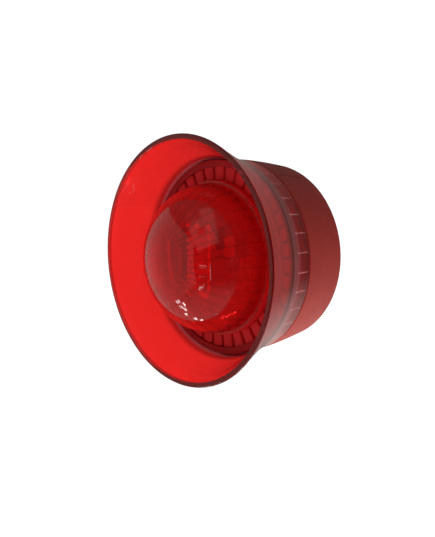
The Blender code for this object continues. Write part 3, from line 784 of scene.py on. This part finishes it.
class MakeThroat(bpy.types.Operator):
    """Ring of fins between the dome and the horn"""

    bl_idname = "horn_strobe.make_throat"
    bl_label = "Throat ring"

    def execute(self, context):
        sizes, colours, _ = settings()
        color = tuple(colours.throat_red)
        # Painted light and shade: one throat red in three copies, 1.12 times as bright for the
        # hub, fins and legs, and darker for the rim (0.65) and the sleeve (0.50) that lie in shade
        # behind them.
        finish = moulded("throat_red_painted_light", shade(color, 1.12), 0.5,
                         Specular_IOR_Level=0.08)
        dark = moulded("throat_rim_painted_shade", shade(color, 0.65), 0.6, Specular_IOR_Level=0.1)
        inner = moulded("sleeve_painted_shade", shade(color, 0.50), 0.5)
        hub_bore, hub_radius, hub_foot = 0.0346, 0.0376, 0.0340
        rim_foot, rim_step, rim_middle, rim_lip, gap = 0.0345, 0.04505, 0.0445, 0.0005, 0.0004
        sleeve_bore, sleeve_radius, sleeve_foot, sleeve_top = 0.0441, 0.0450, 0.0316, 0.0370
        fin_start, fin_end, fin_height = 0.0374, 0.0442, 0.0361
        leg_circle, leg_radius, leg_top, leg_phase = 0.0361, 0.0013, 0.0345, 1.6

        hub = turned("throat_hub", ring(hub_bore, hub_radius, hub_foot, HUB_TOP, 0.0005),
                     around(180))
        fitted(hub, "head", "deep_red", finish, "throat_ring")
        height = np.linspace(0.0372, 0.0392, 8)
        rim = turned("throat_rim", np.vstack((
            [(0.0451, rim_foot)],
            np.column_stack((skirt_radius(height) - sizes.skirt_wall - gap, height)),
            [(0.0466, 0.0395), (0.0448, 0.0394)],
            arc((rim_middle, 0.0389), rim_lip, 90, 180, 5),
            arc((rim_middle, 0.0369), rim_lip, 180, 270, 5),
            [(rim_step, 0.0364), (rim_step, rim_foot)])), around(180))
        fitted(rim, "head", "deep_red", dark)
        sleeve = turned("throat_sleeve", ring(sleeve_bore, sleeve_radius, sleeve_foot,
                                              sleeve_top, 0.0002), around(180))
        fitted(sleeve, "head", "deep_red", inner)
        outline = rounded_outline(0.0028, 0.0021, 0.0010, 6)
        reach = np.linspace(fin_start, fin_end, 6)
        spread = reach / reach[0]
        angles = around(sizes.fin_count)
        out = np.stack((np.cos(angles), np.sin(angles)), axis=-1)
        along = np.stack((-np.sin(angles), np.cos(angles)), axis=-1)
        flat = (out[:, None, None, :] * reach[None, :, None, None]
                + along[:, None, None, :] * outline[None, None, :, :1]
                * spread[None, :, None, None])
        height = np.broadcast_to(fin_height + outline[:, 1], flat.shape[:-1])
        fins = lofted("throat_fins", np.stack((flat[..., 0], -height, flat[..., 1]), axis=-1))
        fitted(fins, "head", "deep_red", finish)
        legs = []
        for turn in np.radians(np.arange(0, 360, 60) + leg_phase):
            x, z = leg_circle * math.cos(turn), leg_circle * math.sin(turn)
            legs.append(rod_rows((x, -FIN_FOOT, z), (x, -leg_top, z),
                                 [(leg_radius, 0), (leg_radius, 1)], 16))
        fitted(lofted("throat_legs", np.concatenate(legs)), "head", "deep_red", finish)
        return {"FINISHED"}


def ring(inner, outer, bottom, top, corner):
    """Closed outline of a ring with rounded corners."""
    return np.vstack((
        arc((outer - corner, bottom + corner), corner, -90, 0, 5),
        arc((outer - corner, top - corner), corner, 0, 90, 5),
        arc((inner + corner, top - corner), corner, 90, 180, 5),
        arc((inner + corner, bottom + corner), corner, 180, 270, 5),
    ))


class MakeStrobe(bpy.types.Operator):
    """Flash unit behind the dome: reflector trough, tube with its trigger winding, capacitor"""

    bl_idname = "horn_strobe.make_strobe"
    bl_label = "Flash unit"

    def execute(self, context):
        silver = plated("stippled_silver", (0.90, 0.90, 0.91), 0.16, 1800)
        low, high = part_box("reflector")
        half_x, half_z = high.x, high.z
        seat, rim = -high.y, -low.y
        trough, wall, corner = 0.0068, 0.0012, 0.0007
        outer = np.roll(ring(-half_x, half_x, seat, rim, corner), -10, axis=0)
        u = np.linspace(1, -1, 41)
        bottom = seat + 0.0018
        hollow = np.column_stack((u * trough, bottom + (rim - bottom) * u ** 2))
        filled = np.column_stack((u * trough, np.full(len(u), rim)))
        rows = []
        for z, cut in ((-half_z, 0), (-half_z + wall, 0), (-half_z + wall, 1),
                       (half_z - wall, 1), (half_z - wall, 0), (half_z, 0)):
            section = np.vstack((outer, hollow if cut else filled))
            rows.append(np.column_stack((section[:, 0], -section[:, 1],
                                         np.full(len(section), z))))
        reflector = lofted("strobe_reflector", np.array(rows)[None])
        fitted(reflector, "head", "silvered", silver, "reflector")

        low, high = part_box("flash_tube")
        level, reach, radius = (low.y + high.y) / 2, high.z, (high.x - low.x) / 2
        t = np.linspace(-1, 1, 60)
        rounding = np.sqrt(np.clip(1 - np.clip((np.abs(t) - 0.9) / 0.1, 0, 1) ** 2, 0.05, 1))
        tube = lofted("xenon_tube", rod_rows((0, level, -reach), (0, level, reach),
                                             np.column_stack((radius * rounding, (t + 1) / 2))))
        glass = clear_plastic("xenon_glass", (0.96, 0.97, 0.98), 0.02)
        fitted(tube, "head", "tube_glass", glass, "flash_tube")

        turns, steps = 9, 22
        a = np.linspace(0, 2 * np.pi * turns, turns * steps)
        way = np.linspace(-0.78, 0.78, len(a)) * reach
        wound = radius + 0.0002
        coil = helix_rows(np.column_stack((np.cos(a) * wound, level + np.sin(a) * wound, way)),
                          0.00018)
        wire = plated("trigger_wire", (0.72, 0.70, 0.66), 0.3)
        fitted(lofted("trigger_winding", coil), "head", "steel", wire)

        low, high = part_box("flash_capacitor")
        middle = (low + high) / 2
        can = (high.x - low.x) / 2
        shape = np.array([(0.55, 0), (0.86, 0.0), (0.97, 0.012), (1, 0.03), (1, 0.10),
                          (0.93, 0.118), (0.93, 0.128), (1, 0.146), (1, 0.97), (0.97, 0.988),
                          (0.88, 1), (0.80, 1), (0.78, 0.99), (0.3, 0.99)]) * (can, 1)
        capacitor = lofted("storage_capacitor", rod_rows(
            (middle.x, middle.y, low.z), (middle.x, middle.y, high.z), shape, 40))
        sleeve = moulded("capacitor_sleeve", (0.02, 0.022, 0.03), 0.3)
        fitted(capacitor, "head", "black_plastic", sleeve, "flash_capacitor")
        return {"FINISHED"}


def helix_rows(path, radius, columns=8):
    """Rows of a wire along a path: circles square to the path's direction at each point."""
    path = np.asarray(path, float)
    forward = np.gradient(path, axis=0)
    forward /= np.linalg.norm(forward, axis=1)[:, None]
    side = np.cross(forward, (0, 0, 1.0))
    side /= np.linalg.norm(side, axis=1)[:, None]
    other = np.cross(forward, side)
    a = around(columns)
    rings = (np.cos(a)[None, :, None] * side[:, None] + np.sin(a)[None, :, None] * other[:, None])
    return (path[:, None] + radius * rings)[None]


class DressFrame(bpy.types.Operator):
    """Finishes for the CAD nodes that stay in view"""

    bl_idname = "horn_strobe.dress_frame"
    bl_label = "Inner parts"

    def execute(self, context):
        _, colours, _ = settings()
        chassis = tuple(colours.chassis)
        finishes = {
            "base_red": moulded("inner_base_red", tuple(colours.base_red)),
            "clear_red": clear_plastic("spare_clear_red", tuple(colours.clear_red)),
            "deep_red": moulded("spare_deep_red", tuple(colours.throat_red), 0.25),
            "dark_plastic": moulded("chassis_plastic", chassis, 0.45),
            "white_plastic": moulded("white_nylon", (0.78, 0.77, 0.74), 0.38),
            "board_green": circuit_board("solder_mask", (0.02, 0.15, 0.06)),
            "board_white": circuit_board("white_solder_mask", (0.62, 0.61, 0.58)),
            "black_plastic": moulded("black_phenolic", (0.016, 0.016, 0.018), 0.5),
            "blue_plastic": moulded("blue_switch_body", (0.03, 0.10, 0.36), 0.4),
            "steel": plated("zinc_plated_steel", (0.62, 0.62, 0.64)),
            "brass": plated("contact_brass", (0.75, 0.55, 0.24), 0.25),
            "silvered": plated("silvered_reflector", (0.88, 0.88, 0.9), 0.12),
            "tube_glass": clear_plastic("flash_glass", (0.95, 0.97, 0.98), 0.02),
            "rubber": moulded("seal_rubber", (0.018, 0.018, 0.018), 0.75, 0.00004),
            "copper": plated("enamelled_copper", (0.68, 0.28, 0.14), 0.35),
            "ceramic": moulded("piezo_ceramic_white", (0.76, 0.74, 0.68), 0.6),
        }
        slots = {entry["node"]: entry["material_slot"] for entry in frame["record"]["subparts"]}
        for name, node in frame["nodes"].items():
            node.data.materials.clear()
            node.data.materials.append(finishes[slots[name]])
        return {"FINISHED"}


# Studio ---------------------------------------------------------------------------------------

class SetStudio(bpy.types.Operator):
    """Pale floor, soft light and the camera"""

    bl_idname = "horn_strobe.set_studio"
    bl_label = "Studio"

    def execute(self, context):
        _, _, studio = settings()
        scene = context.scene
        scene.view_settings.view_transform = "Standard"

        size, depth = 6.0, -0.30
        corners = np.array([(-size, -size), (size, -size), (size, size), (-size, size)])
        corners = np.column_stack((corners, np.full(4, depth)))
        floor = mesh_object("floor", corners, np.array([[0, 1, 2, 3]]))
        paper = Finish("white_paper", Emission_Strength=0.95)
        paper.shader.inputs["Emission Color"].default_value = (1, 1, 1, 1)
        paper.colour(paper.noise(3, 2), [(0.3, (0.9, 0.9, 0.9)), (0.7, (0.93, 0.93, 0.93))])
        paper.shader.inputs["Roughness"].default_value = 0.9
        floor.data.materials.append(paper.material)
        floor.visible_glossy = False

        studio_world(scene)

        target = Vector((0, -RIM_TOP, 0))
        back = bearing(math.degrees(studio.azimuth), math.degrees(studio.elevation))
        camera_data = bpy.data.cameras.new("camera")
        camera_data.lens = studio.lens
        camera_data.shift_x = studio.shift_x
        camera_data.shift_y = studio.shift_y
        camera_data.clip_start = 0.01
        camera = bpy.data.objects.new("camera", camera_data)
        camera.location = target + back * studio.distance
        camera.rotation_euler = (-back).to_track_quat("-Z", "Y").to_euler()
        scene.collection.objects.link(camera)
        scene.camera = camera

        for group, distance, panes in (("pane", PANE_DISTANCE, PANES),
                                       ("low_pane", LOW_PANE_DISTANCE, LOW_PANES)):
            for index, (azimuth, elevation, width, height, radiance) in enumerate(panes):
                softbox(f"{group}_{index + 1}", bearing(azimuth, elevation), distance,
                        (width, height), radiance)
        return {"FINISHED"}


def studio_world(scene):
    """White where it is looked at; where it lights and reflects, a room told by direction.

    The room is dark in front and dim at the sides, with a grey wall behind and a grey ceiling.
    The floor is lit in front and brighter behind. A wide window on the left and a tilted one
    above are dimmed where panes are shut. Each level is a product of smooth steps.
    """
    world = bpy.data.worlds.new("studio")
    scene.world = world
    world.use_nodes = True
    room = Nodes(world.node_tree)
    way = room.node("ShaderNodeTexCoord").outputs["Generated"]
    split = room.node("ShaderNodeSeparateXYZ")
    room.link(way, split.inputs[0])

    def times(one, two):
        """The product of two values."""
        return room.maths("MULTIPLY", one, two)

    def larger(one, two):
        """The larger of two values."""
        return room.maths("MAXIMUM", one, two)

    def slope(value, low, high):
        """Smooth step of a value from low to high."""
        step = room.node("ShaderNodeMapRange", interpolation_type="SMOOTHSTEP")
        room.link(value, step.inputs["Value"])
        step.inputs["From Min"].default_value = low
        step.inputs["From Max"].default_value = high
        return step.outputs["Result"]

    def toward(azimuth, elevation):
        """How far each direction points along one given by its angles from the front."""
        dot = room.node("ShaderNodeVectorMath", operation="DOT_PRODUCT")
        room.link(way, dot.inputs[0])
        dot.inputs[1].default_value = bearing(azimuth, elevation)
        return dot.outputs["Value"]

    def window(azimuth, elevation, half_width, half_height, twist=0.0, edge=0.02):
        """1 inside a rectangle square to a direction, its half sizes as tangents of angles."""
        ahead = toward(azimuth, elevation)
        depth = larger(ahead, 0.001)
        across = room.maths("DIVIDE", toward(azimuth + 90, 0), depth)
        upward = room.maths("DIVIDE", toward(azimuth, elevation + 90), depth)
        c, s = math.cos(math.radians(twist)), math.sin(math.radians(twist))
        u = room.maths("ADD", times(across, c), times(upward, s))
        v = room.maths("SUBTRACT", times(upward, c), times(across, s))
        inside = times(slope(room.maths("ABSOLUTE", u), half_width + edge, half_width - edge),
                       slope(room.maths("ABSOLUTE", v), half_height + edge, half_height - edge))
        return times(inside, slope(ahead, 0.0, 0.05))

    y, z = split.outputs["Y"], split.outputs["Z"]
    behind = times(slope(y, -0.1, 0.35), 0.11)
    floor = larger(times(slope(z, -0.40, -0.80), 0.30),
                   times(slope(z, -0.15, -0.65), times(slope(y, -0.2, 0.3), 0.88)))
    panes = larger(window(-52, -5, 1.34, 0.78), window(6, 45, 0.36, 0.55, 36))
    shut = larger(window(-55, 50, 0.45, 0.28),
                  larger(window(-24, 37, 0.10, 0.09, 20), window(6, 39, 0.09, 0.08, 30)))
    lit = times(panes, room.maths("SUBTRACT", 0.30, times(shut, 0.26)))
    ceiling = times(slope(z, 0.2, 0.8), 0.12)
    dim = room.maths("ADD", times(slope(y, -0.55, -0.15), 0.06), 0.01)
    level = room.maths("ADD", larger(larger(behind, floor), lit), larger(dim, ceiling))

    inside = room.node("ShaderNodeBackground", Color=(1, 0.97, 0.91, 1))
    room.link(level, inside.inputs["Strength"])
    seen = room.node("ShaderNodeBackground", Color=(1, 1, 1, 1), Strength=1.05)
    path = room.node("ShaderNodeLightPath")
    direct = larger(path.outputs["Is Camera Ray"], path.outputs["Is Transmission Ray"])
    mix = room.node("ShaderNodeMixShader")
    room.link(direct, mix.inputs["Fac"])
    room.link(inside.outputs[0], mix.inputs[1])
    room.link(seen.outputs[0], mix.inputs[2])
    room.link(mix.outputs[0], room.tree.nodes["World Output"].inputs["Surface"])


def softbox(name, direction, distance, size, radiance):
    """Rectangular light facing the object; its power is radiance times pi times its area."""
    light = bpy.data.lights.new(name, "AREA")
    light.shape = "RECTANGLE"
    light.size, light.size_y = size
    light.energy = radiance * math.pi * size[0] * size[1]
    item = bpy.data.objects.new(name, light)
    item.location = Vector((0, -0.04, 0)) + direction * distance
    item.rotation_euler = direction.to_track_quat("Z", "Y").to_euler()
    item.visible_camera = False
    bpy.context.scene.collection.objects.link(item)


class HornStrobePanel(bpy.types.Panel):
    """Lists the operators in the sidebar"""

    bl_idname = "VIEW3D_PT_horn_strobe"
    bl_label = "Horn Strobe"
    bl_space_type = "VIEW_3D"
    bl_region_type = "UI"
    bl_category = "Horn Strobe"

    def draw(self, context):
        for group in settings():
            for name in group.bl_rna.properties.keys():
                if name not in ("rna_type", "name"):
                    self.layout.prop(group, name)
        for operator in OPERATORS:
            self.layout.operator(operator.bl_idname)


OPERATORS = (DressFrame, MakeHorn, MakeDome, MakeThroat, MakeStrobe, MakeBase, SetStudio)
GROUPS = {"horn_strobe_sizes": HornStrobeSizes, "horn_strobe_colours": HornStrobeColours,
          "horn_strobe_studio": HornStrobeStudio}


def register():
    """Register the classes and put the settings on the scene."""
    for item in (*GROUPS.values(), *OPERATORS, HornStrobePanel):
        bpy.utils.register_class(item)
    for name, group in GROUPS.items():
        setattr(bpy.types.Scene, name, bpy.props.PointerProperty(type=group))


def unregister():
    """Take the settings and the classes away."""
    for name in GROUPS:
        delattr(bpy.types.Scene, name)
    for item in (HornStrobePanel, *OPERATORS, *GROUPS.values()):
        bpy.utils.unregister_class(item)


def main():
    """Build everything in order."""
    register()
    for operator in OPERATORS:
        group, call = operator.bl_idname.split(".")
        getattr(getattr(bpy.ops, group), call)()


if __name__ == "__main__":
    main()
